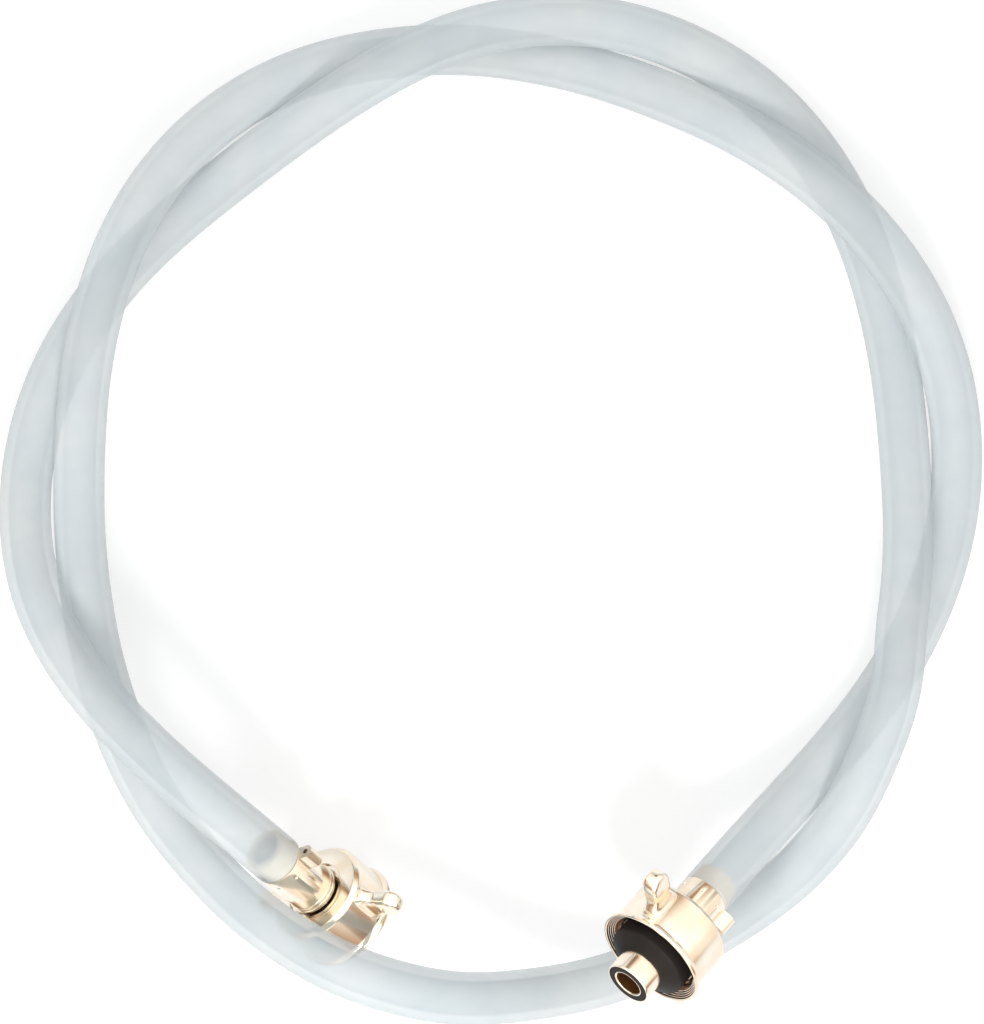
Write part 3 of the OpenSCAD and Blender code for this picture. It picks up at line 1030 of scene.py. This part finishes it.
def make_tail(coupling):
    """A hose tail: a nose with a groove for its seal, a flange, a neck with a round collar, and barbs."""
    nose = [
        (TAIL_BORE / 2 + BORE_EDGE, NOSE_END),
        (SEAL_R - SEAL_W, NOSE_END),
        (SEAL_R - SEAL_W, NOSE_END - SEAL_T),
        (SEAL_R, NOSE_END - SEAL_T),
        (SEAL_R, NOSE_END),
        (NOSE_OD / 2 - EDGE, NOSE_END),
        (NOSE_OD / 2 - NOSE_ROUND, NOSE_END - EDGE),
        (NOSE_OD / 2, NOSE_END - NOSE_BEVEL),
        (NOSE_OD / 2, GASKET_FRONT),
        (GASKET_SEAT_D / 2, GASKET_FRONT),
        (GASKET_SEAT_D / 2, FLANGE_T),
    ]
    flange = [
        (FLANGE_R - EDGE, FLANGE_T),
        (FLANGE_R, FLANGE_T - EDGE),
        (FLANGE_R, EDGE),
        (FLANGE_R - EDGE, 0),
        (NECK_D / 2, 0),
    ]
    collar = []
    for k in range(COLLAR_STEPS + 1):
        a = math.radians(180 / COLLAR_STEPS * k)
        rise = (COLLAR_D - NECK_D) / 2 * math.sin(a)
        collar.append((NECK_D / 2 + rise, -COLLAR_AT + COLLAR_T / 2 * math.cos(a)))
    seat = [
        (NECK_D / 2, NECK_END),
        (SQUEEZED_R, NECK_END),
        (SQUEEZED_R, HOSE_START),
        (BARB_CORE / 2, HOSE_START),
    ]
    pitch = (BARB_LEN - 2 * BARB_LEAD) / BARBS
    barbs = []
    for k in range(BARBS):
        front = HOSE_START - BARB_LEAD - k * pitch
        barbs += [
            (BARB_CORE / 2, front),
            (BARB_D / 2, front - BARB_FACE),
            (BARB_CORE / 2, front - pitch + HAIR),
        ]
    bore = [
        (BARB_CORE / 2 - BORE_EDGE, TAIL_END),
        (TAIL_BORE / 2, TAIL_END),
        (TAIL_BORE / 2, NOSE_END - BORE_EDGE),
    ]
    profile = nose + flange + collar + seat + barbs + bore
    name, node = f"{coupling.name}_hose_tail", f"{coupling.name}_tail"
    tail = turned_piece(coupling, name, profile, METAL, node, "bright_metal")
    tail.data.materials.append(BRASS)
    inverse = coupling.tail.inverted()
    for face in tail.data.polygons:
        middle = inverse @ face.center
        if math.hypot(middle.x, middle.y) < TAIL_BORE / 2 + BRASS_REACH:
            face.material_index = 1
    return tail


def make_pressed_wall(coupling):
    """The hose's wall where it is pressed onto the barbs, under the sleeve and on to the tail's end."""
    low, high = BARB_CORE / 2, SQUEEZED_R - SKIN_GAP
    profile = [
        (low, TAIL_END),
        (PAST_SLEEVE_R, TAIL_END),
        (PAST_SLEEVE_R, SLEEVE_BACK - PAST_SLEEVE_SLOPE),
        (high, SLEEVE_BACK),
        (high, HOSE_START),
        (low, HOSE_START),
    ]
    name = f"{coupling.name}_pressed_wall"
    return turned_piece(coupling, name, profile, PRESSED, "hose", "clear_hose", PRESSED_SIDES)


def make_gasket(coupling):
    """A rubber sleeve on the nose with a cone at its front."""
    inner, outer, tip = GASKET_SEAT_D / 2 + GASKET_SLIP, GASKET_OD / 2, GASKET_TIP_D / 2
    shoulder = GASKET_FRONT - GASKET_CONE
    profile = rounded(
        [(inner, FLANGE_T), (outer, FLANGE_T), (outer, shoulder), (tip, GASKET_FRONT), (inner, GASKET_FRONT)],
        GASKET_ROUNDS,
    )
    node = f"{coupling.name}_gasket"
    return turned_piece(coupling, node + "_cone", profile, RUBBER, node, "black_rubber")


def make_nose_seal(coupling):
    """The dark ring in the nose's end face."""
    low, high = SEAL_R - SEAL_W + SEAL_SLIP, SEAL_R - SEAL_SLIP
    floor, front = NOSE_END - SEAL_T, NOSE_END - SEAL_SUNK
    corners = [(low, floor), (high, floor), (high, front), (low, front)]
    profile = rounded(corners, [0, 0, SEAL_ROUND, SEAL_ROUND])
    node = f"{coupling.name}_nose_seal"
    return turned_piece(coupling, node + "_ring", profile, RUBBER, node, "black_rubber")


def clip_loft():
    """The sleeve's ear, standing along +X: straight sides and a half-round top, run along the axis."""
    outline = [(SLEEVE_OUTER - CLIP_SUNK, -CLIP_W / 2)]
    for a in half_turn(CLIP_STEPS):
        outline.append((CLIP_CENTRE + CLIP_W / 2 * math.cos(a), CLIP_W / 2 * math.sin(a)))
    outline.append((SLEEVE_OUTER - CLIP_SUNK, CLIP_W / 2))
    ends = (CLIP_MIDDLE - CLIP_LEN / 2, CLIP_MIDDLE + CLIP_LEN / 2)
    return loft([[Vector((x, y, z)) for x, y in outline] for z in ends])


def slot_loft():
    """What is cut from that ear: a round rod along the axis, longer than the ear."""
    outline = []
    for s in range(SLOT_SIDES):
        a = 2 * math.pi * s / SLOT_SIDES
        outline.append((CLIP_CENTRE + CLIP_SLOT / 2 * math.cos(a), CLIP_SLOT / 2 * math.sin(a)))
    ends = (CLIP_MIDDLE - CLIP_LEN, CLIP_MIDDLE + CLIP_LEN)
    return loft([[Vector((x, y, z)) for x, y in outline] for z in ends])


def dimple_ball():
    """What is cut from the sleeve for a dimple on its +X side."""
    ball = bmesh.new()
    bmesh.ops.create_uvsphere(ball, u_segments=20, v_segments=12, radius=DIMPLE_R)
    verts = [v.co + Vector((SLEEVE_OUTER + DIMPLE_PROUD, 0, CLIP_MIDDLE)) for v in ball.verts]
    faces = [tuple(v.index for v in face.verts) for face in ball.faces]
    ball.free()
    return verts, faces


def make_sleeve(coupling):
    """A crimped sleeve with a bead at its front, a small bored ear and a row of dimples."""
    bead_r = BEAD_D / 2
    bead = []
    for a in half_turn(BEAD_STEPS):
        bead.append((SLEEVE_OUTER + bead_r * math.cos(a), NECK_END - bead_r + bead_r * math.sin(a)))
    profile = [
        (SLEEVE_R, SLEEVE_BACK),
        (SLEEVE_OUTER - SLEEVE_ROUND, SLEEVE_BACK),
        (SLEEVE_OUTER - SLEEVE_ROUND / 4, SLEEVE_BACK + SLEEVE_ROUND / 4),
        (SLEEVE_OUTER, SLEEVE_BACK + SLEEVE_ROUND),
        *bead,
        (SLEEVE_R, NECK_END),
    ]
    verts, faces = lathe(profile, TURNED_SIDES)
    sleeve = rough_solid(f"{coupling.name}_crimp_sleeve", placed(coupling.tail, verts), faces)
    seat = coupling.tail @ coupling.clip
    verts, faces = clip_loft()
    combine(sleeve, [rough_solid("clip", placed(seat, verts), faces)], "UNION")
    verts, faces = slot_loft()
    cuts = [rough_solid("slot", placed(seat, verts), faces)]
    for k in range(1, DIMPLES + 1):
        turned = seat @ Matrix.Rotation(2 * math.pi * k / (DIMPLES + 1), 4, "Z")
        verts, faces = dimple_ball()
        cuts.append(rough_solid("dimple", placed(turned, verts), faces))
    combine(sleeve, cuts, "DIFFERENCE")
    settle(sleeve, METAL, f"{coupling.name}_sleeve", "hose_line", "bright_metal", sharp=30)
    return sleeve


PIECES = (make_tail, make_pressed_wall, make_gasket, make_nose_seal, make_sleeve, make_nut)
fitted = {coupling: [make(coupling) for make in PIECES] for coupling in (RIGHT, LEFT)}
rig.cord(
    **hose_line,
    diameter=HOSE_OD,
    far_end="fitting",
    stiffness="medium",
    lay="coiled",
    with_pieces=fitted[LEFT],
)

# --- Floor and light --------------------------------------------------------------------------

FLOOR_SIZE = 6.0
FLOOR_LEVEL = -0.0003
FLOOR_PAINT = (0.5, 0.5, 0.5, 1)
FLOOR_GLOW = 0.64
# What polished things see: walls from dim to bright, the ceiling, and the gaps between the panels.
STUDIO_WALLS = (0.50, 0.29, 0.16), (1.5, 1.42, 1.28)
STUDIO_CEILING = (1.6, 1.56, 1.46)
STUDIO_GAPS = (0.05, 0.035, 0.025)
SOFT_GREY = (0.55, 0.55, 0.55)
WHITE = (1.0, 1.0, 1.0)
# Each lamp's name, place, aim, width and power.
LAMPS = [
    ("key", (0.05, -0.75, 1.0), (0, -0.08, 0), 0.3, 7),
    ("fill", (-0.8, 0.6, 1.2), (0, 0, 0), 1.0, 4.5),
]


def lay_floor():
    """A wide floor that the lamps shade and a glow lifts to white. The glow lights nothing else."""
    h = FLOOR_SIZE / 2
    corners = [(x, y, FLOOR_LEVEL) for x, y in ((-h, -h), (h, -h), (h, h), (-h, h))]
    floor = add_mesh("floor", corners, [(0, 1, 2, 3)])
    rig.stage(floor)
    material, tree = new_material("floor")
    seen = (tree.ray("Camera") + tree.ray("Glossy") + tree.ray("Transmission")).clamped()
    paint = tree.add("ShaderNodeBsdfDiffuse", None, {"Color": FLOOR_PAINT})
    glow = tree.add("ShaderNodeEmission", None, {"Color": (*WHITE, 1), "Strength": seen * FLOOR_GLOW})
    tree.close(tree.add("ShaderNodeAddShader", None, {0: paint, 1: glow}))
    floor.data.materials.append(material)


def area_light(name, place, aim, size, power):
    """A round lamp that points from its place to its aim."""
    light = bpy.data.lights.new(name, "AREA")
    light.shape = "DISK"
    light.size = size
    light.energy = power
    holder = bpy.data.objects.new(name, light)
    holder.location = place
    holder.rotation_euler = (Vector(aim) - Vector(place)).to_track_quat("-Z", "Y").to_euler()
    scene.collection.objects.link(holder)


def light_scene():
    """A white studio. Polished things see it as bright panels between warm, dim walls."""
    world = bpy.data.worlds.new("studio")
    scene.world = world
    tree = Tree(world, "ShaderNodeOutputWorld")
    way = tree.add("ShaderNodeTexCoord", output="Generated")
    x, y, up = (tree.add("ShaderNodeSeparateXYZ", None, {0: way}, k) for k in range(3))
    heading = y.math("ARCTAN2", x)
    overhead = up.between(0.1, 0.5)
    # Three bright panels stand round the room, and five narrow dark gaps.
    panels = (heading * 3.0 + 0.8).math("SINE").between(-0.2, 0.3)
    gaps = (heading * 5.0 - 0.9).math("SINE").between(0.75, 0.92) * (1.0 - overhead)
    walls = tree.mix_colour(panels * 0.65, *STUDIO_WALLS)
    room = tree.mix_colour(overhead, walls, STUDIO_CEILING)
    studio = tree.mix_colour(gaps * 0.6, room, STUDIO_GAPS)
    around = tree.mix_colour(tree.ray("Glossy"), SOFT_GREY, studio)
    colour = tree.mix_colour(tree.ray("Camera"), around, WHITE)
    tree.close(tree.add("ShaderNodeBackground", None, {"Color": colour, "Strength": 1.0}))
    for lamp in LAMPS:
        area_light(*lamp)


lay_floor()
light_scene()
scene.view_settings.view_transform = "Standard"

json.dump({"cad": [list(c) for c in cad_box], "visual": [list(c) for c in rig.bounds()]}, open("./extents.json", "w"))
